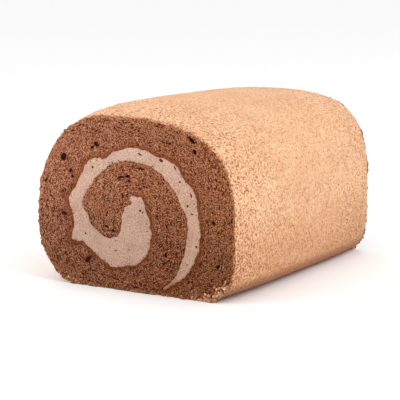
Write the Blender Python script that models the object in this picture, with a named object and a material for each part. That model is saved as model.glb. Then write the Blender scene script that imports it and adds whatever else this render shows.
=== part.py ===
"""A chocolate swiss roll cake: one sheet of sponge rolled up with one layer of cocoa cream.

The roll lies along Y on its flat underside, with its cut end at -Y. Lengths are in millimetres
until mesh_object() turns them into metres. The origin is under the middle of the roll.
Each section is described at the middle of the roll, and the ends are drawn in a little.
"""

import bisect
import math

import bmesh
import bpy
from mathutils import Vector

MM = 0.001

# The roll as a whole.
LENGTH = 125.5
HALF_WIDTH = 50.6
HEIGHT = 76.5
BELT_HEIGHT = 30.6  # where the sides stand upright, at the roll's widest

# The section is four superellipse quarters that meet over the crest. A quarter is its depth above
# or below the belt and its exponent: 2 is an ellipse, and more is squarer. The lower quarters
# reach a little below the board, which cuts the flat underside.
CROWN = HEIGHT - BELT_HEIGHT
UPPER_RIGHT = (CROWN, 3.0)
UPPER_LEFT = (CROWN, 2.13)
LOWER_LEFT = (33.0, 2.4)
LOWER_RIGHT = (33.0, 4.9)

# The roll twisted a little as it was wrapped, so its highest line wanders across it.
FRONT_CREST = -13.2  # in X
BACK_CREST = 6.8

# The ends are smaller than the middle by these shares, where the knife and the wrap drew them in.
FRONT_TAPER = 0.055
BACK_TAPER = 0.052
TAPER_POWER = 4
LOFT_STATIONS = (-1.0, -0.87, -0.65, -0.3, 0.3, 0.65, 0.87, 1.0)

# The cream runs round a ring and then turns in to a thick hook at the heart of the roll.
# Angles are in degrees about the swirl's centre, anticlockwise from +X.
SWIRL_CENTRE = Vector((0.4, 29.7))
RING_RADIUS = 30.7
TAIL_ANGLE = -60.0  # the thin end, beside the seam under the roll
TURN_IN_ANGLE = 166.0
INWARD_PER_DEGREE = 0.225
HOOK_ANGLE = 284.0  # where the spiral ends and the hook rises to its tip
TIP_ANGLE = 324.0  # the tip's place on the same scale as the angles below
HOOK_TIP = Vector((2.0, 42.4))
CREAM_THICKNESS = (  # (angle, thickness)
    (TAIL_ANGLE, 0.9),
    (-48, 1.6),
    (-36, 3.2),
    (-24, 5.8),
    (-10, 6.6),
    (8, 6.6),
    (27, 8.4),
    (45, 8.6),
    (60, 7.6),
    (75, 6.2),
    (92, 5.6),
    (112, 4.0),
    (128, 6.8),
    (165, 6.4),
    (185, 8.0),
    (213, 9.7),
    (233, 12.7),
    (258, 16.4),
    (HOOK_ANGLE, 16.2),
    (300, 14.6),
    (314, 9.2),
    (TIP_ANGLE, 5.6),
)
# Where the sponge cracked as it was rolled, the cream fills a corner, and where it bulged it
# presses a dent: (angle, half span in degrees, height). The outer side faces away from the centre.
OUTER_CORNERS = ((132, 9, 1.6), (164, 9, 1.6), (188, 10, 5.2), (228, 16, 1.0))
INNER_CORNERS = ((108, 16, 0.8), (164, 10, -1.1), (316, 7, -2.6))

CREAM_GAP = 0.3  # between the cream and the sponge round it
OUTLINE_POINTS = 104
SWIRL_STEP_DEGREES = 4.0
CUTTER_OVERRUN = 4.0  # how far the cream's channel cutter passes each end
SHARP_ANGLE = math.radians(40)

SPONGE_BROWN = (0.235, 0.105, 0.058)
SKIN_TAN = (0.68, 0.39, 0.20)
CREAM_BEIGE = (0.56, 0.36, 0.27)


def clear_scene():
    for obj in list(bpy.data.objects):
        bpy.data.objects.remove(obj)


def evenly_spaced(loop, count):
    """The closed loop again, as this many points equally far apart along it."""
    ends = loop[1:] + loop[:1]
    along = [0.0]
    for start, end in zip(loop, ends):
        along.append(along[-1] + (end - start).length)
    spaced = []
    for i in range(count):
        distance = along[-1] * i / count
        side = bisect.bisect_right(along, distance) - 1
        share = (distance - along[side]) / (along[side + 1] - along[side])
        spaced.append(loop[side].lerp(ends[side], share))
    return spaced


def roll_outline(station):
    """The section's outer line in X and Z, anticlockwise from the belt's right-hand end."""
    quarters = (UPPER_RIGHT, UPPER_LEFT, LOWER_LEFT, LOWER_RIGHT)
    crest = FRONT_CREST + (BACK_CREST - FRONT_CREST) * (station + 1) / 2
    fine = []
    for degrees in range(360):
        depth, exponent = quarters[degrees // 90]
        across = math.cos(math.radians(degrees))
        up = math.sin(math.radians(degrees))
        width = HALF_WIDTH - crest if across > 0 else HALF_WIDTH + crest
        x = math.copysign(abs(across) ** (2 / exponent), across) * width + crest
        z = math.copysign(abs(up) ** (2 / exponent), up) * depth + BELT_HEIGHT
        fine.append(Vector((x, max(z, 0.0))))
    return evenly_spaced(fine, OUTLINE_POINTS)


def ramp(x):
    """Goes smoothly from 0 to 1 as x does."""
    x = min(max(x, 0.0), 1.0)
    return x * x * (3 - 2 * x)


def thickness_at(angle):
    for (before, thin), (after, thick) in zip(CREAM_THICKNESS, CREAM_THICKNESS[1:]):
        if angle <= after:
            return thin + (thick - thin) * ramp((angle - before) / (after - before))
    return CREAM_THICKNESS[-1][1]


def corner_height(corners, angle):
    """How far the corners near this angle stand out, each as a pointed tent."""
    return sum(
        height * max(0.0, 1 - abs(angle - middle) / span) for middle, span, height in corners
    )


def swirl_point(angle):
    """A point on the middle line of the cream."""
    turned = min(angle, HOOK_ANGLE)
    radius = RING_RADIUS - INWARD_PER_DEGREE * max(0.0, turned - TURN_IN_ANGLE)
    way = math.radians(turned)
    point = SWIRL_CENTRE + radius * Vector((math.cos(way), math.sin(way)))
    share = max(0.0, angle - HOOK_ANGLE) / (TIP_ANGLE - HOOK_ANGLE)
    return point.lerp(HOOK_TIP, share)


def cream_outline(gap=0.0):
    """The cream's section, anticlockwise, or the hole it lies in, which is wider by the gap."""
    reach = 2.0
    outer, inner = [], []
    steps = round((TIP_ANGLE - TAIL_ANGLE) / SWIRL_STEP_DEGREES)
    for i in range(steps + 1):
        angle = TAIL_ANGLE + (TIP_ANGLE - TAIL_ANGLE) * i / steps
        along = (swirl_point(angle + reach) - swirl_point(angle - reach)).normalized()
        if angle + reach > TIP_ANGLE:
            along = (HOOK_TIP - swirl_point(HOOK_ANGLE)).normalized()
        outward = Vector((along.y, -along.x))
        middle = swirl_point(angle) + along * gap * ((i == steps) - (i == 0))
        half = thickness_at(angle) / 2 + gap
        outer.append(middle + outward * (half + corner_height(OUTER_CORNERS, angle)))
        inner.append(middle - outward * (half + corner_height(INNER_CORNERS, angle)))
    return outer + inner[::-1]


def section_scale(station):
    """How large the section is at a station, which runs from -1 at the cut end to 1 at the back."""
    taper = FRONT_TAPER if station < 0 else BACK_TAPER
    return 1 - taper * abs(station) ** TAPER_POWER


def mesh_object(name, mesh_data, materials):
    mesh = bpy.data.meshes.new(name)
    mesh_data.to_mesh(mesh)
    mesh_data.free()
    mesh.shade_smooth()
    mesh.set_sharp_from_angle(angle=SHARP_ANGLE)
    for material in materials:
        mesh.materials.append(material)
    obj = bpy.data.objects.new(name, mesh)
    bpy.context.scene.collection.objects.link(obj)
    return obj


def loft(name, outline_at, materials, overrun=0.0):
    """A closed solid along the roll, with the outline that outline_at() gives for each station.

    Its ends take the first of the materials and its sides the last. An overrun carries both ends
    straight on past the roll's.
    """
    body = bmesh.new()
    rings = []
    for station in LOFT_STATIONS:
        scale = section_scale(station)
        y = station * LENGTH / 2
        outline = outline_at(station)
        rings.append([body.verts.new(Vector((p.x * scale, y, p.y * scale)) * MM) for p in outline])
    for end, inner in ((rings[0], rings[1]), (rings[-1], rings[-2])):
        for corner, before in zip(end, inner):
            run = corner.co - before.co
            corner.co += run * (overrun * MM / abs(run.y))
    for near, far in zip(rings, rings[1:]):
        for i in range(len(near)):
            side = body.faces.new((near[i - 1], near[i], far[i], far[i - 1]))
            side.material_index = len(materials) - 1
    body.faces.new(rings[0])
    body.faces.new(rings[-1][::-1])
    bmesh.ops.recalc_face_normals(body, faces=body.faces)
    return mesh_object(name, body, materials)


def finish(name, colour, roughness):
    material = bpy.data.materials.new(name)
    material.use_nodes = True
    shader = material.node_tree.nodes["Principled BSDF"]
    shader.inputs["Base Color"].default_value = (*colour, 1.0)
    shader.inputs["Roughness"].default_value = roughness
    shader.inputs["Metallic"].default_value = 0.0
    return material


def make_sponge():
    """The rolled sheet: its crumb shows at both ends, and its baked skin all round."""
    crumb = finish("chocolate_crumb", SPONGE_BROWN, 0.9)
    skin = finish("baked_skin", SKIN_TAN, 0.8)
    hole = cream_outline(CREAM_GAP)
    channel = loft("cream_channel_cutter", lambda station: hole, [crumb], CUTTER_OVERRUN)
    channel.hide_render = True
    channel.display_type = "WIRE"
    sponge = loft("sponge", roll_outline, [crumb, skin])
    cut = sponge.modifiers.new("cream_channel", "BOOLEAN")
    cut.operation = "DIFFERENCE"
    cut.object = channel


def make_cream():
    """The cream layer, which shows at both ends of the roll."""
    filling = cream_outline()
    loft("cream", lambda station: filling, [finish("cocoa_cream", CREAM_BEIGE, 0.5)])


clear_scene()
make_sponge()
make_cream()
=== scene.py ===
"""The looks of a chocolate swiss roll cake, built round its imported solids.

The sponge's two cut ends are slabs of porous crumb, with a plain core between them. A thin baked
skin wraps all three, the cream runs through them, and loose crumbs cling to the edges. Lengths
are in millimetres until mesh_piece() turns them into metres. Sections are drawn in X and Z. A
station runs along the roll, from -1 at the cut end that faces -Y to 1 at the other end.
"""

import itertools
import math

import bmesh
import bpy
import numpy as np
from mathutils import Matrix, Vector, kdtree
from mathutils.geometry import delaunay_2d_cdt


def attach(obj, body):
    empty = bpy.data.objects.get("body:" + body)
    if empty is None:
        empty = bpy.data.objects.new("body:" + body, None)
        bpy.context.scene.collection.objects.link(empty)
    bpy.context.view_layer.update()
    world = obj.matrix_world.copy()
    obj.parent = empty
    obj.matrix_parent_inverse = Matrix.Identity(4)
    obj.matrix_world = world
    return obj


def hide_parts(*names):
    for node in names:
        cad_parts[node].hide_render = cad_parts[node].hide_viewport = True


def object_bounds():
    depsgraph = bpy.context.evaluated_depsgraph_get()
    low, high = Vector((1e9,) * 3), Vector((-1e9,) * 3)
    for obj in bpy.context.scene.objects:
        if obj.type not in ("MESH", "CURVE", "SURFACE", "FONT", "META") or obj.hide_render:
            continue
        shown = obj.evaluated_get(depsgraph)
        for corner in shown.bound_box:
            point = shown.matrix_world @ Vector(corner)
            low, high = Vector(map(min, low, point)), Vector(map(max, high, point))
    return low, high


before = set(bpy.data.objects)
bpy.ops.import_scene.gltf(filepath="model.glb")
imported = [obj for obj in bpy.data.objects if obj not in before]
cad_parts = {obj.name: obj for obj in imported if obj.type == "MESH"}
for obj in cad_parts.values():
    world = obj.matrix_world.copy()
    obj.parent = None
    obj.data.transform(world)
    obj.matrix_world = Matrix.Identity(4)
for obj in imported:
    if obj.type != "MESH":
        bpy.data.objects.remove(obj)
cad_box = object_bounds()

MM = 0.001
LOW, HIGH = (np.array(corner) / MM for corner in cad_box)
LENGTH = HIGH[1] - LOW[1]
HALF_WIDTH = (HIGH[0] - LOW[0]) / 2
HEIGHT = HIGH[2]

# The roll's section, nearly as in the solids: four superellipse quarters, each with its depth above
# or below the belt and its exponent.
BELT_HEIGHT = 0.4 * HEIGHT
CROWN = HEIGHT - BELT_HEIGHT
QUARTERS = ((CROWN, 3.0), (CROWN, 2.13), (33.0, 2.55), (33.0, 4.9))
FRONT_CREST = -13.2
BACK_CREST = 6.8
FRONT_TAPER = 0.060
BACK_TAPER = 0.052
TAPER_POWER = 4

# The cream's section, as in the solids but with more small corners. Angles are in degrees about
# the swirl's centre.
SWIRL_CENTRE = np.array((0.4, 29.7))
RING_RADIUS = 30.7
TAIL_ANGLE = -60.0
TURN_IN_ANGLE = 166.0
INWARD_PER_DEGREE = 0.225
HOOK_ANGLE = 284.0
TIP_ANGLE = 324.0
HOOK_TIP = np.array((2.0, 42.4))
CREAM_THICKNESS = (
    (TAIL_ANGLE, 0.9),
    (-48, 2.1),
    (-36, 4.2),
    (-24, 5.8),
    (-10, 6.6),
    (8, 6.6),
    (27, 8.4),
    (45, 8.6),
    (60, 7.6),
    (75, 6.2),
    (92, 5.6),
    (112, 4.0),
    (128, 6.8),
    (165, 6.4),
    (185, 8.0),
    (213, 9.7),
    (233, 12.7),
    (258, 16.4),
    (HOOK_ANGLE, 16.2),
    (300, 14.6),
    (314, 9.2),
    (TIP_ANGLE, 5.6),
)
OUTER_CORNERS = (
    (10, 12, -0.5),
    (26, 6, 0.4),
    (40, 8, -1.1),
    (51, 6, 0.4),
    (68, 10, -0.8),
    (117, 7, -1.3),
    (132, 12, 1.1),
    (164, 9, 1.6),
    (180, 5, -0.9),
    (188, 12, 2.2),
    (189, 6, 3.4),
    (228, 16, 1.0),
)
INNER_CORNERS = ((108, 16, 0.8), (164, 10, -1.1), (310, 4, 1.5), (316, 4, -2.8))
NOTCH = np.array((-0.6, 39.4))  # between the last two, where the line's waves are kept small

# How finely each piece is meshed, and how its layers meet.
EDGE_STEP = 0.32
FRONT_CRUMB_STEP = 0.28
BACK_CRUMB_STEP = 0.34
HIDDEN_STEP = 6.0
CREAM_STEP = 0.32
SLAB_DEPTH = 10.0
SKIN_THICKNESS = 0.6
SKIN_STEP = 0.8
OVERLAP = 0.12  # how far a layer reaches under its neighbour, so that no gap shows
CUT_RECESS = 0.3  # of the cut face's highest crumb behind the roll's end
SKIN_RECESS = 0.55  # of the skin's frayed edge behind it
CREAM_RECESS = 0.35
SEAM_X = 12.5  # where the sheet's outer end lies under the roll
SEAM_DEPTH = 0.7
CRUMBS_AT_EACH_END = 420
# Where the skin tore at a lower corner, as (side, share of the half width that it starts at,
# height it reaches, crumbs at each end, how toasted they are).
TORN_CORNERS = ((1, 0.55, 10, 110, 0.45), (-1, 0.48, 5, 50, 0.10))
CRUMBS_ON_CREAM = 300  # at each end, along its edges

# Large holes in the crumb at the cut end: (x, z, half length, half width, slant in degrees).
CRUMB_HOLES = (
    (-34.2, 53.5, 1.7, 1.3, 60),
    (-34.2, 29.5, 1.5, 0.8, 0),
    (-22.7, 11.0, 1.3, 0.9, 50),
    (-30.7, 48.0, 1.1, 0.7, 80),
    (-29.6, 45.6, 0.8, 0.6, 60),
    (-43.2, 43.0, 1.2, 0.5, 60),
    (-17.6, 60.0, 1.5, 0.8, -30),
    (28.3, 64.3, 1.6, 0.6, -25),
    (27.0, 65.6, 0.8, 0.5, -30),
    (29.4, 60.1, 1.0, 1.1, 70),
    (17.8, 62.6, 0.9, 0.5, 15),
    (11.6, 32.6, 0.8, 0.5, 15),
    (15.8, 17.0, 0.9, 0.6, 80),
    (38.0, 32.5, 0.8, 1.1, 0),
    (40.2, 15.0, 0.9, 0.6, 60),
    (-21.6, 29.4, 1.1, 0.5, -50),
    (-12.8, 26.2, 1.1, 0.5, 0),
    (-9.7, 24.6, 0.9, 0.5, -10),
    (-4.7, 39.5, 1.3, 0.5, 80),
    (-5.6, 47.2, 1.9, 0.5, 15),
    (-2.4, 47.8, 1.4, 0.45, 10),
    (-1.7, 45.9, 0.8, 0.6, -30),
    (4.2, 51.4, 1.9, 0.42, -8),
    (-19.5, 58.6, 1.1, 0.8, 20),
)
# Pits in the cream at the cut end, in the same form.
CREAM_PITS = (
    (13.8, 55.5, 0.95, 0.6, -35),
    (-19.6, 50.3, 0.5, 0.45, 0),
    (3.8, 57.3, 1.2, 0.35, -25),
    (20.3, 53.0, 1.3, 0.32, -60),
    (22.6, 47.5, 0.5, 0.4, 0),
    (27.8, 42.5, 1.1, 0.35, -70),
    (26.2, 38.0, 0.5, 0.5, 0),
    (28.2, 35.0, 0.5, 0.4, 0),
    (30.3, 22.0, 0.5, 0.45, 0),
    (3.7, 34.2, 0.55, 0.45, 0),
    (4.9, 33.6, 0.4, 0.4, 0),
    (-23.4, 22.2, 0.5, 0.4, 0),
)
RIM_PITS = 150
PIT_MAP_STEP = 0.12
SLAB_WALLS = (0.77, 0.92)  # where the sides of the sponge's ends lie on the bake map
BAKE_MAP = "OFBake"  # the UV map through which a piece's materials are baked
NOISE_CELLS = 64


def smooth_noise(points, size, seed):
    """Random values from -1 to 1 at these points, which change smoothly over about this size."""
    lattice = np.random.default_rng(seed).uniform(-1, 1, (NOISE_CELLS,) * 3)
    place = np.asarray(points, float) / size
    cell = np.floor(place).astype(int)
    share = place - cell
    share = share * share * (3 - 2 * share)
    total = np.zeros(len(place))
    for corner in itertools.product((0, 1), repeat=3):
        weight = np.prod(np.where(corner, share, 1 - share), axis=1)
        index = (cell + corner) % NOISE_CELLS
        total += weight * lattice[index[:, 0], index[:, 1], index[:, 2]]
    return total


def at_depth(section, y):
    """The section's points with this Y put between their X and Z."""
    return np.stack((section[:, 0], np.broadcast_to(y, len(section)), section[:, 1]), axis=1)


def evenly_spaced(loop, count):
    """The closed loop again, as this many points equally far apart along X and Z."""
    closed = np.vstack((loop, loop[:1]))
    along = np.concatenate(([0], np.cumsum(np.hypot(*np.diff(closed[:, :2], axis=0).T))))
    places = np.linspace(0, along[-1], count, endpoint=False)
    return np.stack([np.interp(places, along, column) for column in closed.T], axis=1)


def loop_length(loop):
    return np.hypot(*(np.roll(loop, -1, axis=0) - loop)[:, :2].T).sum()


def outward(loop):
    """The unit normals of an anticlockwise loop, pointing out of it."""
    along = np.roll(loop, -1, axis=0) - np.roll(loop, 1, axis=0)
    across = np.stack((along[:, 1], -along[:, 0]), axis=1)
    return across / np.hypot(*across.T)[:, None]


def rounded(loop, times):
    """The loop with its corners rounded, by moving each point towards its neighbours."""
    for _ in range(times):
        loop = (np.roll(loop, 1, axis=0) + 2 * loop + np.roll(loop, -1, axis=0)) / 4
    return loop


def section_scale(station):
    taper = np.where(np.asarray(station) < 0, FRONT_TAPER, BACK_TAPER)
    return 1 - taper * np.abs(station) ** TAPER_POWER


def roll_outline(station, count):
    """The roll's outer line at a station, anticlockwise."""
    degrees = np.arange(0, 360, 0.25)
    depth, exponent = np.array(QUARTERS)[(degrees // 90).astype(int)].T
    across = np.cos(np.radians(degrees))
    up = np.sin(np.radians(degrees))
    crest = FRONT_CREST + (BACK_CREST - FRONT_CREST) * (station + 1) / 2
    width = np.where(across > 0, HALF_WIDTH - crest, HALF_WIDTH + crest)
    x = np.sign(across) * np.abs(across) ** (2 / exponent) * width + crest
    z = np.sign(up) * np.abs(up) ** (2 / exponent) * depth + BELT_HEIGHT
    loop = np.stack((x, np.maximum(z, 0)), axis=1) * section_scale(station)
    return evenly_spaced(loop, count)


def swirl_points(angle):
    """Points on the cream's middle line."""
    turned = np.minimum(angle, HOOK_ANGLE)
    radius = RING_RADIUS - INWARD_PER_DEGREE * np.maximum(0, turned - TURN_IN_ANGLE)
    way = np.stack((np.cos(np.radians(turned)), np.sin(np.radians(turned))), axis=1)
    points = SWIRL_CENTRE + radius[:, None] * way
    share = np.maximum(0, angle - HOOK_ANGLE) / (TIP_ANGLE - HOOK_ANGLE)
    return points + (HOOK_TIP - points) * share[:, None]


def corner_heights(corners, angle):
    return sum(
        height * np.maximum(0, 1 - np.abs(angle - middle) / span)
        for middle, span, height in corners
    )


def cream_section():
    """The cream's outline at the middle of the roll.

    Its columns are X, Z, 1 on the outer side or -1 on the inner, and half the thickness there.
    """
    reach = 2.0
    angle = np.arange(TAIL_ANGLE, TIP_ANGLE + 0.1, 0.5)
    known, thickness = np.array(CREAM_THICKNESS).T
    span = np.clip(np.searchsorted(known, angle) - 1, 0, len(known) - 2)
    share = np.clip((angle - known[span]) / (known[span + 1] - known[span]), 0, 1)
    share = share * share * (3 - 2 * share)
    half = (thickness[span] + (thickness[span + 1] - thickness[span]) * share) / 2
    along = swirl_points(angle + reach) - swirl_points(angle - reach)
    along[angle + reach > TIP_ANGLE] = HOOK_TIP - swirl_points(np.array([HOOK_ANGLE]))[0]
    along /= np.hypot(*along.T)[:, None]
    away = np.stack((along[:, 1], -along[:, 0]), axis=1)
    middle = swirl_points(angle)
    outer = middle + away * (half + corner_heights(OUTER_CORNERS, angle))[:, None]
    inner = middle - away * (half + corner_heights(INNER_CORNERS, angle))[:, None]
    outer = np.column_stack((outer, np.ones(len(outer)), half))
    inner = np.column_stack((inner, -np.ones(len(inner)), half))
    return np.vstack((outer, inner[::-1]))


CREAM_SECTION = cream_section()


def cream_loop(station, count, grow=0.0):
    """The line between cream and sponge at a station, with the small waves it has in the cake."""
    loop = evenly_spaced(CREAM_SECTION, count)
    line = rounded(loop[:, :2], 3)
    places = at_depth(line, station * LENGTH / 16)
    wave = 0.45 * smooth_noise(places, 2.4, 11) + 0.35 * smooth_noise(places, 0.95, 12)
    wave *= np.clip(loop[:, 3] / 1.6, 0.15, 1)
    wave *= np.clip(np.hypot(*(line - NOTCH).T) / 4, 0.2, 1)
    line = rounded(line + outward(line) * (wave + grow)[:, None], 1)
    return line * section_scale(station), loop[:, 2]


def inside_loops(points, loops):
    """Which points lie inside the first loop and outside the others, by counting crossings."""
    inside = np.zeros(len(points), bool)
    x, z = points.T
    for loop in loops:
        for (x1, z1), (x2, z2) in zip(loop, np.roll(loop, -1, axis=0)):
            if z1 != z2:
                inside ^= ((z1 > z) != (z2 > z)) & (x < (x2 - x1) * (z - z1) / (z2 - z1) + x1)
    return inside


def distances(points, line):
    """How far each point is from the nearest point of the line."""
    tree = kdtree.KDTree(len(line))
    for i, (x, z) in enumerate(line):
        tree.insert((x, z, 0), i)
    tree.balance()
    return np.array([tree.find((x, z, 0))[2] for x, z in points])


def fill_between(loops, step, seed):
    """Points and triangles that fill a face between loops. The loops' points come first.

    The face lies to the left of its loops, so an outer one runs anticlockwise and a hole clockwise.
    """
    edge = np.vstack(loops)
    low, high = edge.min(axis=0), edge.max(axis=0)
    row = step * math.sqrt(3) / 2
    x, z = np.meshgrid(np.arange(low[0], high[0], step), np.arange(low[1], high[1], row))
    x[1::2] += step / 2
    lattice = np.stack((x.ravel(), z.ravel()), axis=1)
    lattice += np.random.default_rng(seed).uniform(-0.2, 0.2, lattice.shape) * step
    lattice = lattice[inside_loops(lattice, loops)]
    lattice = lattice[distances(lattice, edge) > 0.55 * step]
    points = np.vstack((edge, lattice))
    sides = []
    for loop in loops:
        first = len(sides)
        sides += [(first + i, first + (i + 1) % len(loop)) for i in range(len(loop))]
    found = delaunay_2d_cdt([Vector(p) for p in points], sides, [], 0, 1e-5, False)
    triangles = np.array(found[2])
    spans_edge = np.flatnonzero((triangles < len(edge)).all(axis=1))
    starts = triangles[spans_edge]
    ends = np.roll(starts, -1, axis=1)
    following = np.array(sides)[:, 1]
    within = (following[starts] == ends).any(axis=1)
    beyond = (following[ends] == starts).any(axis=1)
    inside = within | (inside_loops(points[starts].mean(axis=1), loops) & ~beyond)
    return points, np.delete(triangles, spans_edge[~inside], axis=0)


def flat_map(vertices, left, low, width):
    """Places on the bake map for a face, whose full width is drawn this wide from a corner."""
    return (vertices[:, [0, 2]] / HALF_WIDTH + (1, 0)) / 2 * width + (left, low)


def closed_slab(near, far, rings, sizes, maps, walls):
    """Vertices, faces and bake map of a solid between two sheets, each (vertices, triangles).

    The rings between them, and the first points of each sheet, hold loops of these sizes. The maps
    say where flat_map() draws each sheet, and the walls lie between two heights on the bake map.
    """
    corners = [flat_map(near[0], *maps[0])[near[1]], flat_map(far[0], *maps[1])[far[1][:, ::-1]]]
    tall = (walls[1] - walls[0]) / (len(rings) + 1) / len(sizes)
    vertices = np.vstack((near[0], *rings, far[0]))
    faces = near[1].tolist()
    starts = [0]
    starts += [len(near[0]) + i * sum(sizes) for i in range(len(rings) + 1)]
    faces += (far[1][:, ::-1] + starts[-1]).tolist()
    for band, (ahead, behind) in enumerate(zip(starts, starts[1:])):
        first = 0
        for i, size in enumerate(sizes):
            here = first + np.arange(size)
            there = first + (np.arange(size) + 1) % size
            sides = (ahead + here, behind + here, behind + there, ahead + there)
            faces += np.stack(sides, axis=1).tolist()
            low = walls[0] + (i * (len(rings) + 1) + band) * tall
            corners.append(strip_map(np.arange(size) / size, 1 / size, low, low + tall))
            first += size
    return vertices, faces, np.vstack([places.reshape(-1, 2) for places in corners])


def strip_map(left, width, low, high):
    """Places on the bake map for the corners of a strip's faces, from their left-hand edges."""
    low, high = np.broadcast_to(low, left.shape), np.broadcast_to(high, left.shape)
    u = 0.004 + 0.992 * np.stack((left, left, left + width, left + width), axis=1)
    return np.stack((u, np.stack((low, high, high, low), axis=1)), axis=2)


def stamp_pits(pits, steepness, low, high):
    """A map of pits on a face, as depth in mm for each step of X and Z."""
    size = np.ceil((np.array(high) - low) / PIT_MAP_STEP).astype(int) + 1
    depth = np.zeros(size)
    for x, z, length, width, slant in pits:
        reach = int(max(length, width) / PIT_MAP_STEP) + 1
        i, j = ((np.array((x, z)) - low) / PIT_MAP_STEP).astype(int)
        i0, i1 = max(i - reach, 0), min(i + reach + 2, size[0])
        j0, j1 = max(j - reach, 0), min(j + reach + 2, size[1])
        if i0 >= i1 or j0 >= j1:
            continue
        dx = (np.arange(i0, i1) * PIT_MAP_STEP + low[0] - x)[:, None]
        dz = (np.arange(j0, j1) * PIT_MAP_STEP + low[1] - z)[None, :]
        turn = math.radians(slant)
        along = (dx * math.cos(turn) + dz * math.sin(turn)) / length
        across = (dz * math.cos(turn) - dx * math.sin(turn)) / width
        bowl = np.sqrt(np.clip(1 - along**2 - across**2, 0, 1)) * steepness * min(length, width)
        depth[i0:i1, j0:j1] = np.maximum(depth[i0:i1, j0:j1], bowl)
    return depth


def read_map(depth, low, points):
    """The map's depth at each of these points, between its steps."""
    place = (points - low) / PIT_MAP_STEP
    cell = np.clip(np.floor(place).astype(int), 0, np.array(depth.shape) - 2)
    share = np.clip(place - cell, 0, 1)
    i, j = cell.T
    u, v = share.T
    return (
        depth[i, j] * (1 - u) * (1 - v)
        + depth[i + 1, j] * u * (1 - v)
        + depth[i, j + 1] * (1 - u) * v
        + depth[i + 1, j + 1] * u * v
    )


def random_pits(count, median, spread, low, high, seed):
    """Pits of many sizes scattered over a face, most of them drawn out round the swirl."""
    rng = np.random.default_rng(seed)
    place = rng.uniform(low, high, (count, 2))
    length = median * np.exp(rng.normal(0, spread, count))
    width = length * rng.uniform(0.5, 0.95, count)
    off = place - SWIRL_CENTRE
    slant = np.degrees(np.arctan2(off[:, 1], off[:, 0])) + 90 + rng.normal(0, 35, count)
    return np.column_stack((place, length, width, slant))


def rim_pits(seed):
    """Pits in a row just inside the skin, drawn out along it."""
    rng = np.random.default_rng(seed)
    outline = roll_outline(-1, 1200)
    ways = outward(outline)
    picked = rng.integers(0, len(outline), RIM_PITS)
    inside = rng.uniform(0.5, 1.9, RIM_PITS)
    place = outline[picked] - ways[picked] * inside[:, None]
    length = 0.42 * np.exp(rng.normal(0, 0.3, RIM_PITS))
    width = length * rng.uniform(0.5, 0.8, RIM_PITS)
    slant = np.degrees(np.arctan2(ways[picked, 1], ways[picked, 0])) + 90
    return np.column_stack((place, length, width, slant + rng.normal(0, 20, RIM_PITS)))


def mesh_piece(name, vertices, faces, material, node, values=None, corners=None):
    """A piece of the cake, which rides on the one body.

    It may have values for each vertex, and a place on the bake map for each corner of its faces.
    """
    mesh = bpy.data.meshes.new(name)
    mesh.from_pydata((np.asarray(vertices) * MM).tolist(), [], faces)
    for label, numbers in (values or {}).items():
        attribute = mesh.attributes.new(label, "FLOAT", "POINT")
        attribute.data.foreach_set("value", np.asarray(numbers, np.float32))
    if corners is not None:
        layer = mesh.uv_layers.new(name=BAKE_MAP)
        layer.data.foreach_set("uv", corners.astype(np.float32).ravel())
    mesh.shade_smooth()
    mesh.materials.append(material)
    mesh.update()
    piece = bpy.data.objects.new(name, mesh)
    bpy.context.scene.collection.objects.link(piece)
    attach(piece, "root")
    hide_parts(node)
    return piece


# Shader helpers.


def new_material(name, roughness):
    material = bpy.data.materials.new(name)
    material.use_nodes = True
    shader = material.node_tree.nodes["Principled BSDF"]
    shader.inputs["Roughness"].default_value = roughness
    return material, material.node_tree, shader


def put(tree, kind, inputs, **settings):
    """Adds a node to the tree, with these settings and with its inputs set or linked."""
    added = tree.nodes.new(kind)
    for key, value in settings.items():
        setattr(added, key, value)
    for key, value in inputs.items():
        if isinstance(value, bpy.types.NodeSocket):
            tree.links.new(value, added.inputs[key])
        else:
            added.inputs[key].default_value = value
    return added


def place_on(tree):
    return put(tree, "ShaderNodeTexCoord", {}).outputs["Object"]


def noise(tree, place, size, detail=2.0, roughness=0.5):
    """Smooth noise about 0.5, whose features are about this many millimetres across."""
    inputs = {"Vector": place, "Scale": 1 / (size * MM), "Detail": detail, "Roughness": roughness}
    return put(tree, "ShaderNodeTexNoise", inputs).outputs["Fac"]


def cells(tree, place, size, output="Distance", feature="F1"):
    """Scattered cells about this many millimetres apart."""
    inputs = {"Vector": place, "Scale": 1 / (size * MM), "Randomness": 1.0}
    return put(tree, "ShaderNodeTexVoronoi", inputs, feature=feature).outputs[output]


def value_of(tree, name):
    return put(tree, "ShaderNodeAttribute", {}, attribute_name=name).outputs["Fac"]


def calc(tree, operation, a, b=0.0, clamp=False):
    inputs = {0: a, 1: b}
    return put(tree, "ShaderNodeMath", inputs, operation=operation, use_clamp=clamp).outputs[0]


def spread(tree, value, low, high, to_low=0.0, to_high=1.0):
    """Maps a value from low..high to to_low..to_high smoothly, and holds it at the ends."""
    inputs = {"Value": value, "From Min": low, "From Max": high}
    inputs |= {"To Min": to_low, "To Max": to_high}
    added = put(tree, "ShaderNodeMapRange", inputs, interpolation_type="SMOOTHSTEP")
    return added.outputs["Result"]


def tint(tree, share, a, b, mode="MIX"):
    """Colour a with this share of b mixed in. Either may be a socket or a colour."""
    a = a if isinstance(a, bpy.types.NodeSocket) else (*a, 1.0)
    b = b if isinstance(b, bpy.types.NodeSocket) else (*b, 1.0)
    added = put(tree, "ShaderNodeMix", {}, data_type="RGBA", blend_type=mode)
    for index, value in ((0, share), (6, a), (7, b)):
        if isinstance(value, bpy.types.NodeSocket):
            tree.links.new(value, added.inputs[index])
        else:
            added.inputs[index].default_value = value
    return added.outputs[2]


def bump(tree, height, depth, strength=1.0, under=None):
    """A normal from this height, where 1 stands this many millimetres above 0."""
    inputs = {"Height": height, "Distance": depth * MM, "Strength": strength}
    if under is not None:
        inputs["Normal"] = under
    return put(tree, "ShaderNodeBump", inputs).outputs["Normal"]


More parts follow.
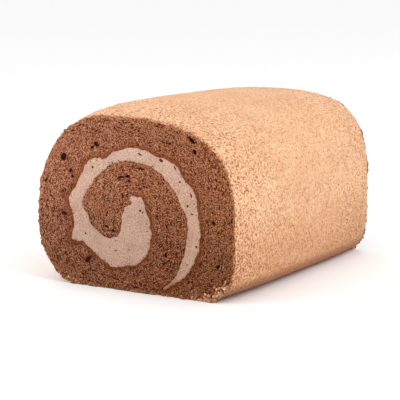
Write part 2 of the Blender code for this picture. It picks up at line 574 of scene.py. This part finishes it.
# Materials. Colours are linear.

CRUMB_BROWN = (0.318, 0.113, 0.053)
CRUMB_LIGHT = (0.640, 0.326, 0.214)
CRUMB_RED = (0.288, 0.090, 0.040)
CRUMB_DARK = (0.080, 0.014, 0.002)
# Painted shade in the crumb's holes.
PAINTED_PORE_SHADE = (0.045, 0.008, 0.001)
# Crumb brown darkened by the same painted shade as the bottom of the cut face.
SHADED_LOOSE_BROWN = (0.180, 0.060, 0.026)
RIND_BROWN = (0.205, 0.053, 0.015)
RIM_TAN = (0.520, 0.215, 0.100)
SKIN_TAN = (0.715, 0.402, 0.223)
SKIN_LIGHT = (0.880, 0.570, 0.355)
SKIN_BROWN = (0.450, 0.185, 0.065)
# Painted shade in the skin's pits.
SKIN_PIT_SHADE = (0.270, 0.092, 0.027)
SKIN_CUT = (0.560, 0.360, 0.270)
SMEAR_BROWN = (0.290, 0.135, 0.080)
CREAM_BEIGE = (0.405, 0.250, 0.184)
CREAM_PALE = (0.470, 0.302, 0.230)
CREAM_LIGHT = (0.600, 0.440, 0.350)
CREAM_SHADE = (0.240, 0.115, 0.068)
# Painted shade in the cream's pits.
CREAM_PIT_SHADE = (0.090, 0.028, 0.010)


def height_share(tree, place):
    """0 at the board and 1 at the top of the roll."""
    up = put(tree, "ShaderNodeSeparateXYZ", {"Vector": place}).outputs["Z"]
    return spread(tree, up, 0.0, HEIGHT * MM)


def scaled(tree, value, by, plus=0.0):
    inputs = {0: value, 1: by, 2: plus}
    return put(tree, "ShaderNodeMath", inputs, operation="MULTIPLY_ADD").outputs[0]


def along_the_roll(tree, place):
    """Coordinates that draw a texture out to nearly three times its length round the swirl."""
    centre = (SWIRL_CENTRE[0] * MM, 0.0, SWIRL_CENTRE[1] * MM)
    off = put(tree, "ShaderNodeVectorMath", {0: place, 1: centre}, operation="SUBTRACT").outputs[0]
    flat = {0: off, 1: (1.0, 0.0, 1.0)}
    flat = put(tree, "ShaderNodeVectorMath", flat, operation="MULTIPLY").outputs[0]
    radius = put(tree, "ShaderNodeVectorMath", {0: flat}, operation="LENGTH").outputs["Value"]
    parts = put(tree, "ShaderNodeSeparateXYZ", {"Vector": off}).outputs
    deep = scaled(tree, parts["Y"], 0.7)
    x = calc(tree, "ADD", scaled(tree, parts["X"], 0.36), deep)
    z = calc(tree, "ADD", scaled(tree, parts["Z"], 0.36), deep)
    stretched = {"X": x, "Y": scaled(tree, radius, 0.93), "Z": z}
    return put(tree, "ShaderNodeCombineXYZ", stretched).outputs["Vector"]


def crumb_material():
    """Brown crumb: painted shade in fine pores between lighter walls, and a darker rind along the
    cream.
    """
    material, tree, shader = new_material("chocolate_crumb", 0.9)
    place = place_on(tree)
    rolled = along_the_roll(tree, place)
    low_down = spread(tree, height_share(tree, place), 1.0, 0.0)
    grain = noise(tree, place, 0.43, 1.0, 0.7)
    clump = noise(tree, rolled, 1.1, 1.0, 0.5)
    blotch = noise(tree, place, 4.0, 3.0, 0.6)
    small = cells(tree, rolled, 0.58)
    lot = cells(tree, rolled, 0.58, "Color")
    lot = put(tree, "ShaderNodeSeparateColor", {"Color": lot}).outputs["Red"]
    lot = calc(tree, "MULTIPLY", lot, spread(tree, blotch, 0.35, 0.65, 0.32, 0.50))
    inside = calc(tree, "SUBTRACT", small, lot)
    pore = spread(tree, inside, 0.08, -0.08)
    colour = tint(tree, spread(tree, blotch, 0.40, 0.62), CRUMB_BROWN, CRUMB_RED)
    across = put(tree, "ShaderNodeSeparateXYZ", {"Vector": place}).outputs["X"]
    pale_side = spread(tree, across, -0.3 * HALF_WIDTH * MM, -0.8 * HALF_WIDTH * MM, 1.1, 1.6)
    rim = calc(tree, "ADD", value_of(tree, "rim"), scaled(tree, grain, 1.6, -0.8))
    rim = calc(tree, "DIVIDE", rim, pale_side)
    colour = tint(tree, spread(tree, value_of(tree, "rim"), 9.0, 2.0, 0, 0.16), colour, RIM_TAN)
    colour = tint(tree, spread(tree, rim, 1.6, -0.2, 0, 0.85), colour, RIM_TAN)
    colour = tint(tree, spread(tree, clump, 0.45, 0.70, 0, 0.10), colour, CRUMB_LIGHT)
    to_right = spread(tree, across, -HALF_WIDTH * MM, HALF_WIDTH * MM)
    strong = calc(tree, "ADD", scaled(tree, low_down, 0.20, 0.82), scaled(tree, to_right, 0.20))
    light = calc(tree, "MULTIPLY", spread(tree, grain, 0.51, 0.64), scaled(tree, strong, 0.9))
    colour = tint(tree, light, colour, CRUMB_LIGHT)
    dark = calc(tree, "MULTIPLY", spread(tree, grain, 0.50, 0.36), strong)
    colour = tint(tree, dark, colour, CRUMB_DARK)
    colour = tint(tree, spread(tree, clump, 0.48, 0.30, 0, 0.14), colour, CRUMB_DARK)
    # Painted shade in the small pores.
    colour = tint(tree, calc(tree, "MULTIPLY", pore, strong), colour, CRUMB_DARK)
    colour = tint(tree, spread(tree, value_of(tree, "grain"), 0.1, 0.9, 0, 0.30), colour, CRUMB_LIGHT)
    ragged = scaled(tree, blotch, 3.0, -1.5)
    rind = calc(tree, "SUBTRACT", value_of(tree, "rind"), ragged)
    rind = calc(tree, "ADD", rind, scaled(tree, grain, 0.8, -0.4))
    rind = calc(tree, "DIVIDE", rind, scaled(tree, pale_side, 1.2, -0.16))
    colour = tint(tree, spread(tree, rind, 2.3, 0.6, 0, 0.64), colour, RIND_BROWN)
    # Painted shade in the holes, darker where they are deeper.
    colour = tint(tree, spread(tree, value_of(tree, "pit"), 0.18, 0.70, 0, 0.85), colour, PAINTED_PORE_SHADE)
    # Painted shade: the crumb darker towards the bottom.
    colour = tint(tree, low_down, colour, (0.58, 0.57, 0.56), "MULTIPLY")
    # Painted shade where the roll meets the board.
    at_board = spread(tree, height_share(tree, place), 0.14, 0.0)
    colour = tint(tree, at_board, colour, (0.92, 0.90, 0.88), "MULTIPLY")
    # Painted shade: the crumb darker near the top.
    high_up = spread(tree, height_share(tree, place), 0.55, 0.90)
    colour = tint(tree, high_up, colour, (0.84, 0.84, 0.86), "MULTIPLY")
    # Painted shade: the crumb darker and warmer towards the right.
    colour = tint(tree, to_right, colour, (0.91, 0.83, 0.69), "MULTIPLY")
    tree.links.new(colour, shader.inputs["Base Color"])
    height = calc(tree, "SUBTRACT", grain, pore)
    tree.links.new(bump(tree, height, 0.5), shader.inputs["Normal"])
    tree.links.new(spread(tree, grain, 0.3, 0.7, 0.8, 0.97), shader.inputs["Roughness"])
    shader.inputs["Specular IOR Level"].default_value = 0.0
    return material


def loose_crumb_material():
    """Loose crumbs, from chocolate brown darkened with painted shade to the tan of the skin."""
    material, tree, shader = new_material("loose_crumbs", 0.9)
    place = place_on(tree)
    grain = noise(tree, place, 0.35, 2.0, 0.6)
    # Painted shade in the brown of the crumbs, as low down on the cut face.
    colour = tint(tree, value_of(tree, "toasted"), SHADED_LOOSE_BROWN, SKIN_TAN)
    colour = tint(tree, spread(tree, grain, 0.5, 0.75, 0, 0.4), colour, SKIN_LIGHT)
    colour = tint(tree, spread(tree, grain, 0.48, 0.28, 0, 0.6), colour, CRUMB_DARK)
    tree.links.new(colour, shader.inputs["Base Color"])
    tree.links.new(bump(tree, grain, 0.2), shader.inputs["Normal"])
    tree.links.new(spread(tree, grain, 0.3, 0.7, 0.8, 0.97), shader.inputs["Roughness"])
    shader.inputs["Specular IOR Level"].default_value = 0.0
    return material


def skin_material():
    """Golden baked skin, with an orange-peel surface and fine pits painted with shade, more of them
    low down.
    """
    material, tree, shader = new_material("baked_skin", 0.7)
    place = place_on(tree)
    low_down = spread(tree, height_share(tree, place), 0.50, 0.0)
    peel = noise(tree, place, 0.85, 2.0, 0.7)
    mottle = noise(tree, place, 3.5, 2.0, 0.5)
    patch = noise(tree, place, 16.0, 2.0, 0.5)
    grain = noise(tree, place, 0.5, 1.0, 0.5)
    pits = cells(tree, place, 1.1)
    lot = cells(tree, place, 1.1, "Color")
    lot = put(tree, "ShaderNodeSeparateColor", {"Color": lot}).outputs["Red"]
    wide = scaled(tree, lot, 0.32)
    wide = calc(tree, "ADD", wide, scaled(tree, low_down, 0.08))
    wide = calc(tree, "ADD", wide, spread(tree, value_of(tree, "to_end"), 35.0, 3.0, 0, 0.11))
    pitted = spread(tree, calc(tree, "SUBTRACT", pits, wide), 0.04, -0.08)
    colour = tint(tree, spread(tree, patch, 0.35, 0.65, 0, 0.25), SKIN_TAN, SKIN_LIGHT)
    rough = spread(tree, value_of(tree, "to_end"), 60.0, 4.0, 0.55, 1.0)
    light = calc(tree, "MULTIPLY", spread(tree, peel, 0.50, 0.62), rough)
    dark = calc(tree, "MULTIPLY", spread(tree, peel, 0.50, 0.34), rough)
    # Painted shade: the skin browner and darker low down on the sides.
    colour = tint(tree, scaled(tree, low_down, 0.43), colour, SKIN_BROWN)
    # Painted shade along the bottom, where the roll meets the board.
    under = spread(tree, height_share(tree, place), 0.035, 0.010, 0, 0.7)
    colour = tint(tree, under, colour, CRUMB_BROWN)
    cut = spread(tree, height_share(tree, place), 0.75, 0.95, 1.9, 1.0)
    cut = calc(tree, "MULTIPLY", value_of(tree, "to_end"), cut)
    cut = calc(tree, "ADD", cut, scaled(tree, peel, 5.0, -2.5))
    colour = tint(tree, spread(tree, cut, 2.6, -0.6), colour, SKIN_CUT, "MULTIPLY")
    colour = tint(tree, light, colour, (1.20, 1.32, 1.44), "MULTIPLY")
    colour = tint(tree, dark, colour, (0.60, 0.42, 0.26), "MULTIPLY")
    speck = scaled(tree, spread(tree, grain, 0.48, 0.28), 0.6)
    colour = tint(tree, speck, colour, (0.63, 0.46, 0.30), "MULTIPLY")
    colour = tint(tree, spread(tree, mottle, 0.50, 0.30, 0, 0.18), colour, SKIN_BROWN)
    # Painted shade in the pits.
    colour = tint(tree, scaled(tree, pitted, 0.80), colour, SKIN_PIT_SHADE)
    tree.links.new(colour, shader.inputs["Base Color"])
    height = calc(tree, "ADD", peel, scaled(tree, grain, 0.5))
    height = calc(tree, "SUBTRACT", height, scaled(tree, pitted, 0.8))
    tree.links.new(bump(tree, height, 0.25), shader.inputs["Normal"])
    tree.links.new(spread(tree, peel, 0.3, 0.7, 0.65, 0.85), shader.inputs["Roughness"])
    shader.inputs["Specular IOR Level"].default_value = 0.3
    return material


def cream_material():
    """Smooth cocoa cream with faint clouds, fine grain and a few tiny bubbles."""
    material, tree, shader = new_material("cocoa_cream", 0.5)
    place = place_on(tree)
    cloud = noise(tree, place, 7.0, 3.0, 0.55)
    grain = noise(tree, place, 0.6, 1.0, 0.7)
    bubbles = cells(tree, place, 1.4)
    lot = cells(tree, place, 1.4, "Color")
    lot = put(tree, "ShaderNodeSeparateColor", {"Color": lot}).outputs["Red"]
    hole = spread(tree, calc(tree, "SUBTRACT", bubbles, scaled(tree, lot, 0.22)), 0.03, -0.06)
    colour = tint(tree, spread(tree, cloud, 0.35, 0.65), CREAM_BEIGE, CREAM_PALE)
    colour = tint(tree, spread(tree, grain, 0.54, 0.34, 0, 0.50), colour, CREAM_SHADE)
    colour = tint(tree, spread(tree, grain, 0.50, 0.64, 0, 0.4), colour, CREAM_LIGHT)
    colour = tint(tree, scaled(tree, hole, 0.65), colour, CREAM_SHADE)
    # Painted shade in the pits, darker where they are deeper.
    colour = tint(tree, spread(tree, value_of(tree, "pit"), 0.10, 0.35), colour, CREAM_PIT_SHADE)
    smear = calc(tree, "SUBTRACT", value_of(tree, "edge"), scaled(tree, grain, 2.8, -1.25))
    colour = tint(tree, spread(tree, smear, 0.22, -0.15, 0, 0.55), colour, SMEAR_BROWN)
    tail = swirl_points(np.array([TAIL_ANGLE]))[0] * section_scale(-1) * MM
    to_tail = {0: place, 1: (tail[0], -LENGTH / 2 * MM, tail[1])}
    to_tail = put(tree, "ShaderNodeVectorMath", to_tail, operation="DISTANCE").outputs["Value"]
    colour = tint(tree, spread(tree, to_tail, 0.013, 0.003, 0, 0.9), colour, SMEAR_BROWN)
    # Painted shade: the cream darker towards the bottom.
    low_down = spread(tree, height_share(tree, place), 1.0, 0.0)
    colour = tint(tree, low_down, colour, (0.80, 0.78, 0.76), "MULTIPLY")
    # Painted light: the cream warmer towards the right.
    across = put(tree, "ShaderNodeSeparateXYZ", {"Vector": place}).outputs["X"]
    to_right = spread(tree, across, 0.0, 0.7 * HALF_WIDTH * MM)
    colour = tint(tree, to_right, colour, (1.05, 1.0, 0.94), "MULTIPLY")
    tree.links.new(colour, shader.inputs["Base Color"])
    height = calc(tree, "ADD", cloud, scaled(tree, grain, 0.35))
    height = calc(tree, "SUBTRACT", height, scaled(tree, hole, 0.5))
    tree.links.new(bump(tree, height, 0.2), shader.inputs["Normal"])
    tree.links.new(spread(tree, grain, 0.3, 0.7, 0.45, 0.62), shader.inputs["Roughness"])
    shader.inputs["Subsurface Weight"].default_value = 0.1
    shader.inputs["Subsurface Radius"].default_value = (1.0, 0.5, 0.3)
    shader.inputs["Subsurface Scale"].default_value = 1.2 * MM
    shader.inputs["Specular IOR Level"].default_value = 0.15
    return material


# The sponge.


def sponge_loops(station, counts, inset, fray=0.0):
    """The sponge's edges at a station: its outline, this far inside the roll's, and its channel."""
    outline = roll_outline(station, counts[0])
    places = at_depth(outline, station * LENGTH / 2)
    ragged = 0.55 * smooth_noise(places, 0.9, 21) + 0.60 * smooth_noise(places, 2.3, 22) + 0.1
    outline = outline + outward(outline) * (fray * ragged - inset)[:, None]
    lifted = fray * 0.6 * np.clip(ragged, 0, 1)
    outline[:, 1] = np.maximum(outline[:, 1], 0.1 * inset + lifted)
    channel, side = cream_loop(station, counts[1])
    return [outline, channel[::-1]], side[::-1]


def crumb_pits(holes, seed):
    """A map of the holes in a crumb face: the named ones and a scatter of small ones."""
    low = np.array((-HALF_WIDTH, 0.0)) - 1
    high = np.array((HALF_WIDTH, HEIGHT)) + 1
    small = random_pits(5600, 0.34, 0.28, low, high, seed)
    middling = random_pits(80, 0.60, 0.20, low, high, seed + 1)
    fine = stamp_pits(np.vstack((small, middling)), 1.0, low, high)
    fine = np.maximum(fine, stamp_pits(rim_pits(seed + 8), 1.6, low, high))
    if holes:
        slots = [hole for hole in holes if hole[3] < 0.65]
        fine = np.maximum(fine, stamp_pits(holes, 1.5, low, high))
        fine = np.maximum(fine, stamp_pits(slots, 2.8, low, high))
    return fine, low


def crumb_sheet(loops, side, step, station, holes, seed):
    """A cut face of crumb: its vertices, triangles and values, with relief going into the roll."""
    points, triangles = fill_between(loops, step, seed)
    places = at_depth(points, 100.0 * station)
    depth, low = crumb_pits(holes, seed)
    warp = np.stack([smooth_noise(places, 1.1, seed + i) for i in (2, 3)], axis=1) * 0.25
    pit = read_map(depth, low, points + warp)
    rim = distances(points, loops[0])
    rind = distances(points, loops[1][side > 0])
    near_cream = distances(points, loops[1])
    grain = 0.7 * smooth_noise(places, 0.75, seed + 6) + 0.5 * smooth_noise(places, 1.6, seed + 7)
    relief = pit - 0.16 * grain
    relief += 0.30 * smooth_noise(places, 22, seed + 4) + 0.14 * smooth_noise(places, 4, seed + 5)
    into = CUT_RECESS + relief * np.clip(np.minimum(rim, near_cream) / 0.8, 0.25, 1)
    into += 0.30 * np.exp(-((rim / 0.6) ** 2)) + 0.10 * np.exp(-((near_cream / 0.4) ** 2))
    end = station * LENGTH / 2
    vertices = at_depth(points, end - np.sign(station) * into)
    values = {"rim": rim, "rind": rind, "pit": pit, "grain": grain}
    return (vertices, triangles), values


def add_sponge_end(name, station, step, holes, seed, material):
    """A slab of sponge at one end of the roll, with its cut face in full detail."""
    counts = [
        round(loop_length(roll_outline(station, 400)) / EDGE_STEP),
        round(loop_length(CREAM_SECTION[:, :2]) / EDGE_STEP),
    ]
    inset = SKIN_THICKNESS - OVERLAP
    loops, side = sponge_loops(station, counts, 0.08, 1.0)
    cut, values = crumb_sheet(loops, side, step, station, holes, seed)
    rings = []
    for deep in (1.5, 5.0, SLAB_DEPTH):
        at = station * (1 - 2 * deep / LENGTH)
        section = sponge_loops(at, counts, inset)[0]
        rings.append(at_depth(np.vstack(section), at * LENGTH / 2))
    points, triangles = fill_between(section, HIDDEN_STEP, seed)
    hidden = (at_depth(points, at * LENGTH / 2), triangles)
    plain = 2 * len(rings[0]) + len(points)
    unseen = {"rim": 0.0, "rind": 9.0, "pit": 0.0, "grain": 0.0}
    maps = [(0.005, 0.005, 0.99), (0.93, 0.94, 0.06)]
    if station < 0:
        slab = closed_slab(cut, hidden, rings[:2], counts, maps, SLAB_WALLS)
        values = {key: np.append(values[key], np.full(plain, unseen[key])) for key in values}
    else:
        slab = closed_slab(hidden, cut, rings[1::-1], counts, maps[::-1], SLAB_WALLS)
        values = {key: np.append(np.full(plain, unseen[key]), values[key]) for key in values}
    vertices, faces, corners = slab
    mesh_piece(name, vertices, faces, material, "sponge", values, corners)


def add_sponge_core(material):
    """The plain middle of the sponge, between its two ends."""
    counts = [150, 260]
    inset = SKIN_THICKNESS - OVERLAP
    inner = 1 - 2 * SLAB_DEPTH / LENGTH
    stations = np.linspace(-inner, inner, 7)
    rings = []
    for station in stations:
        section = sponge_loops(station, counts, inset)[0]
        rings.append(at_depth(np.vstack(section), station * LENGTH / 2))
    sheets = []
    for station in (-inner, inner):
        section = sponge_loops(station, counts, inset)[0]
        points, triangles = fill_between(section, HIDDEN_STEP, 5)
        sheets.append((at_depth(points, station * LENGTH / 2), triangles))
    maps = [(0.0, 0.0, 0.5), (0.5, 0.0, 0.5)]
    vertices, faces, corners = closed_slab(*sheets, rings[1:-1], counts, maps, (0.4, 1.0))
    mesh_piece("sponge_core", vertices, faces, material, "sponge", None, corners)


def skin_rows():
    """The rows of the skin, as (Y, share of the thickness below the outer surface)."""
    half = LENGTH / 2
    ends = half - SKIN_RECESS - np.array((0.0, 0.15, 0.35, 0.6, 0.95, 1.4, 2.0))
    count = round(2 * ends[-1] / SKIN_STEP)
    middle = np.linspace(-ends[-1], ends[-1], count)[1:-1]
    outer = np.concatenate((-ends, middle, ends[::-1]))
    inner = np.linspace(ends[1], -ends[1], 12)
    rows = [(y, 0.0) for y in outer] + [(ends[0], 0.5)]
    return rows + [(y, 1.0) for y in inner] + [(-ends[0], 0.5)]


def skin_relief(outline, y):
    """How far the skin stands out at each point, which is nothing where it rests."""
    places = at_depth(outline, y)
    relief = 0.30 * smooth_noise(places, 24, 31) + 0.16 * smooth_noise(places, 5, 32)
    relief += 0.13 * smooth_noise(places, 2.0, 33) + 0.10 * smooth_noise(places, 1.2, 34)
    return relief * np.clip(outline[:, 1] / 4, 0, 1)


def skin_map(rows, count):
    """The skin's corners on the bake map: its outside in two strips, and the rest in thin ones."""
    outer = sum(sunk == 0 for y, sunk in rows)
    half = (count + 1) // 2
    here = np.arange(count)
    second = here // half
    corners = []
    for i in range(len(rows)):
        if i < outer - 1:
            low, high = (0.005 + 0.44 * (rows[j][0] / LENGTH + 0.5) for j in (i, i + 1))
            left = (here - second * half) / half
            corners.append(strip_map(left, 1 / half, low + 0.46 * second, high + 0.46 * second))
        else:
            tall = 0.065 / (len(rows) - outer + 1)
            low = 0.93 + (i - outer + 1) * tall
            corners.append(strip_map(here / count, 1 / count, low, low + tall))
    return np.vstack(corners).reshape(-1, 2)


def add_skin(material):
    """The baked skin: a thin tube round the sponge, with an orange-peel surface and frayed ends."""
    count = round(loop_length(roll_outline(0.0, 400)) / SKIN_STEP)
    half = LENGTH / 2
    rings = []
    to_ends = []
    for y, sunk in skin_rows():
        outline = roll_outline(y / half, count)
        to_end = half - SKIN_RECESS - abs(y)
        inset = np.full(count, sunk * SKIN_THICKNESS)
        if sunk == 0:
            inset += 0.24 * math.exp(-to_end / 0.3) - skin_relief(outline, y)
        ring = outline - outward(outline) * inset[:, None]
        groove = SEAM_DEPTH * np.exp(-(((outline[:, 0] - SEAM_X) / 0.8) ** 2))
        ring[:, 1] = np.maximum(ring[:, 1], groove * (outline[:, 1] < 1) * (1 - sunk))
        places = at_depth(outline, math.copysign(half, y))
        ragged = 0.7 * smooth_noise(places, 0.9, 35) + 0.6 * smooth_noise(places, 2.8, 36)
        pushed = ragged * 0.5 * math.exp(-to_end / 0.8)
        pushed += 1.2 * np.clip(1 - outline[:, 1] / 2.5, 0, 1) * math.exp(-to_end / 3.0)
        rings.append(at_depth(ring, y - math.copysign(1, y) * pushed))
        to_ends.append(np.full(count, to_end if sunk == 0 else 0.0))
    vertices = np.vstack(rings)
    here = np.arange(count)
    there = (here + 1) % count
    faces = []
    for i in range(len(rings)):
        ahead = i * count
        behind = (i + 1) % len(rings) * count
        sides = (ahead + here, behind + here, behind + there, ahead + there)
        faces += np.stack(sides, axis=1).tolist()
    values = {"to_end": np.concatenate(to_ends)}
    corners = skin_map(skin_rows(), count)
    mesh_piece("baked_skin", vertices, faces, material, "sponge", values, corners)


def crumb_ball():
    """A small rough ball: its vertices, about 1 from the middle, and its triangles."""
    ball = bmesh.new()
    bmesh.ops.create_icosphere(ball, subdivisions=2, radius=1)
    vertices = np.array([v.co for v in ball.verts])
    faces = np.array([[v.index for v in f.verts] for f in ball.faces])
    ball.free()
    return vertices, faces


def crumb_places(rng):
    """Where loose crumbs cling, as rows of X, Y, Z, radius and how toasted each is."""
    rows = []
    for station in (-1, 1):
        outline = roll_outline(station, 1600)
        ways = outward(outline)
        low_down = np.clip(1 - outline[:, 1] / 4, 0, 1)
        corner = low_down * (outline[:, 0] > 0.62 * HALF_WIDTH)
        sparse = 0.03 + 0.07 * (station < 0)
        sparse = sparse + 0.25 * np.clip(1 - outline[:, 1] / 32, 0, 1)
        clustered = np.exp(2.0 * smooth_noise(at_depth(outline, 50.0 * station), 3.5, 73))
        chance = (sparse + 0.9 * low_down + 2.2 * corner) * clustered
        picked = rng.choice(len(outline), CRUMBS_AT_EACH_END, p=chance / chance.sum())
        for i in picked:
            radius = 0.22 + 0.30 * low_down[i] + 0.30 * corner[i] * rng.uniform(0, 1)
            radius *= math.exp(rng.normal(0, 0.3))
            x, z = outline[i] - ways[i] * rng.uniform(-0.2, 0.6)
            y = station * (LENGTH / 2 - CUT_RECESS - rng.uniform(-0.2, 0.9))
            toasted = np.clip(rng.normal(-0.05 + 0.45 * corner[i], 0.35), 0, 1)
            rows.append((x, y, max(z, 0.7 * radius), radius, toasted))
        for side, share, height, count, tan in TORN_CORNERS:
            torn = (0.3 + clustered) * (side * outline[:, 0] > share * HALF_WIDTH)
            torn *= np.clip(1 - outline[:, 1] / height, 0, 1)
            for i in rng.choice(len(outline), count, p=torn / torn.sum()):
                radius = rng.uniform(0.30, 0.75)
                x, z = outline[i] - ways[i] * min(rng.exponential(1.3), 4.5)
                y = station * (LENGTH / 2 - CUT_RECESS - 0.3 * radius - rng.uniform(0, 0.3))
                toasted = np.clip(rng.normal(tan, 0.25), 0, 1)
                rows.append((x, y, max(z, 0.7 * radius), radius, toasted))
        line = cream_loop(station, 1200)[0]
        ways = outward(line)
        chance = 0.25 + np.clip(-ways[:, 1], 0, 1)
        for i in rng.choice(len(line), CRUMBS_ON_CREAM, p=chance / chance.sum()):
            radius = 0.20 * math.exp(rng.normal(0, 0.3))
            x, z = line[i] - ways[i] * (min(rng.exponential(0.6), 2.0) - 0.2)
            y = station * (LENGTH / 2 - CREAM_RECESS - rng.uniform(-0.05, 0.25))
            rows.append((x, y, z, radius, 0.0))
    return rows


def crumb_map(ball, faces, count):
    """The crumbs' corners on the bake map: a cell for each, with its front next to its back."""
    across = math.ceil(math.sqrt(count))
    behind = ball[faces][:, :, 1].mean(axis=1) > 0
    flat = ball[faces][:, :, [0, 2]] * (0.23, 0.46) + (0.25, 0.5)
    flat[behind] += (0.5, 0)
    cell = np.stack((np.arange(count) % across, np.arange(count) // across), axis=1)
    return ((cell[:, None] + flat.reshape(-1, 2)) / across).reshape(-1, 2)


def add_crumbs(material):
    """Loose crumbs along the edges of both cut ends, most of them where the roll meets the board."""
    rng = np.random.default_rng(71)
    ball, faces = crumb_ball()
    vertices = []
    triangles = []
    toasted = []
    for x, y, z, radius, toast in crumb_places(rng):
        rough = 1 + 0.45 * smooth_noise(ball + rng.uniform(0, 50, 3), 0.8, 72)
        shape = ball * rough[:, None] * radius * rng.uniform(0.65, 1.2, 3)
        triangles.append(faces + len(ball) * len(vertices))
        vertices.append(np.maximum(shape + (x, y, z), (-np.inf, -np.inf, 0.0)))
        toasted.append(np.full(len(ball), toast))
    values = {"toasted": np.concatenate(toasted)}
    corners = crumb_map(ball, faces, len(vertices))
    faces = np.vstack(triangles).tolist()
    mesh_piece("crumbs", np.vstack(vertices), faces, material, "sponge", values, corners)


# The cream.


def cream_sheet(loop, station, pits, seed):
    """A cut face of cream: knife-smoothed, slightly sunk, with a few pits."""
    points, triangles = fill_between([loop], CREAM_STEP, seed)
    places = at_depth(points, 100.0 * station)
    low = np.array((-HALF_WIDTH, 0.0))
    high = np.array((HALF_WIDTH, HEIGHT))
    scattered = random_pits(300, 0.22, 0.3, low, high, seed)
    depth = stamp_pits(np.vstack((scattered, np.reshape(pits, (-1, 5)))), 1.6, low, high)
    pit = read_map(depth, low, points)
    edge = distances(points, loop)
    into = CREAM_RECESS + pit
    into += 0.22 * smooth_noise(places, 9, seed + 1) + 0.08 * smooth_noise(places, 2.5, seed + 2)
    into += 0.15 * np.exp(-((edge / 0.5) ** 2))
    end = station * LENGTH / 2
    vertices = at_depth(points, end - np.sign(station) * into)
    return (vertices, triangles), np.clip(pit, 0, 1), edge


def add_cream(material):
    """The cream, from one cut end to the other."""
    count = round(loop_length(CREAM_SECTION[:, :2]) / EDGE_STEP)
    stations = np.linspace(-0.98, 0.98, 15)
    rings = [at_depth(cream_loop(s, count, OVERLAP)[0], s * LENGTH / 2) for s in stations]
    near, near_pit, near_edge = cream_sheet(cream_loop(-1, count, OVERLAP)[0], -1, CREAM_PITS, 51)
    far, far_pit, far_edge = cream_sheet(cream_loop(1, count, OVERLAP)[0], 1, (), 61)
    maps = [(-0.127, 0.0, 0.758), (0.373, 0.0, 0.758)]
    vertices, faces, corners = closed_slab(near, far, rings, [count], maps, (0.48, 0.99))
    hidden = np.zeros(count * len(rings))
    pit = np.concatenate((near_pit, hidden, far_pit))
    edge = np.concatenate((near_edge, hidden, far_edge))
    values = {"pit": pit, "edge": edge}
    mesh_piece("cream_swirl", vertices, faces, material, "cream", values, corners)


# Camera, light and floor.


def add_camera():
    """The camera, level with the cut end and to its right, with a long lens."""
    azimuth = math.radians(30.75)
    elevation = math.radians(9.92)
    back = Vector(
        (
            math.sin(azimuth) * math.cos(elevation),
            -math.cos(azimuth) * math.cos(elevation),
            math.sin(elevation),
        )
    )
    target = Vector((0.200 * LENGTH / 1.235, -0.34 * LENGTH, 0.486 * HEIGHT)) * MM
    data = bpy.data.cameras.new("camera")
    data.lens = 135
    data.sensor_width = 36
    data.clip_start = 0.01
    camera = bpy.data.objects.new("camera", data)
    camera.location = target + back * 0.6168
    camera.rotation_euler = back.to_track_quat("Z", "Y").to_euler()
    bpy.context.scene.collection.objects.link(camera)
    bpy.context.scene.camera = camera


def add_light(name, place, size, power):
    """A soft square light at a place in metres, aimed at the roll."""
    data = bpy.data.lights.new(name, "AREA")
    data.shape = "SQUARE"
    data.size = size
    data.energy = power
    light = bpy.data.objects.new(name, data)
    light.location = place
    aim = Vector((0, 0, HEIGHT / 2 * MM)) - Vector(place)
    light.rotation_euler = aim.to_track_quat("-Z", "Y").to_euler()
    bpy.context.scene.collection.objects.link(light)


def add_floor():
    """A wide plain pale floor, which the roll lies on."""
    half = 6.0
    corners = [(-half, -half, 0), (half, -half, 0), (half, half, 0), (-half, half, 0)]
    mesh = bpy.data.meshes.new("floor")
    mesh.from_pydata(corners, [], [(0, 1, 2, 3)])
    material, tree, shader = new_material("pale_floor", 0.8)
    shader.inputs["Base Color"].default_value = (0.90, 0.90, 0.90, 1)
    mesh.materials.append(material)
    floor = bpy.data.objects.new("floor", mesh)
    bpy.context.scene.collection.objects.link(floor)


def add_studio():
    """Even white surroundings, a large soft key light, a weak one to the left and a pale floor."""
    scene = bpy.context.scene
    scene.view_settings.view_transform = "Standard"
    world = bpy.data.worlds.new("studio")
    world.use_nodes = True
    background = world.node_tree.nodes["Background"]
    background.inputs["Color"].default_value = (1.0, 1.0, 1.0, 1)
    background.inputs["Strength"].default_value = 1.04
    scene.world = world
    add_light("key", (0.85, -0.15, 0.90), 0.6, 5.0)
    add_light("side", (-0.25, -0.35, 0.12), 0.20, 0.8)
    add_floor()


def main():
    crumb = crumb_material()
    skin = skin_material()
    cream = cream_material()
    crumbs = loose_crumb_material()
    add_sponge_end("sponge_front", -1, FRONT_CRUMB_STEP, CRUMB_HOLES, 101, crumb)
    add_sponge_end("sponge_back", 1, BACK_CRUMB_STEP, (), 201, crumb)
    add_sponge_core(crumb)
    add_skin(skin)
    add_crumbs(crumbs)
    add_cream(cream)
    add_camera()
    add_studio()


main()
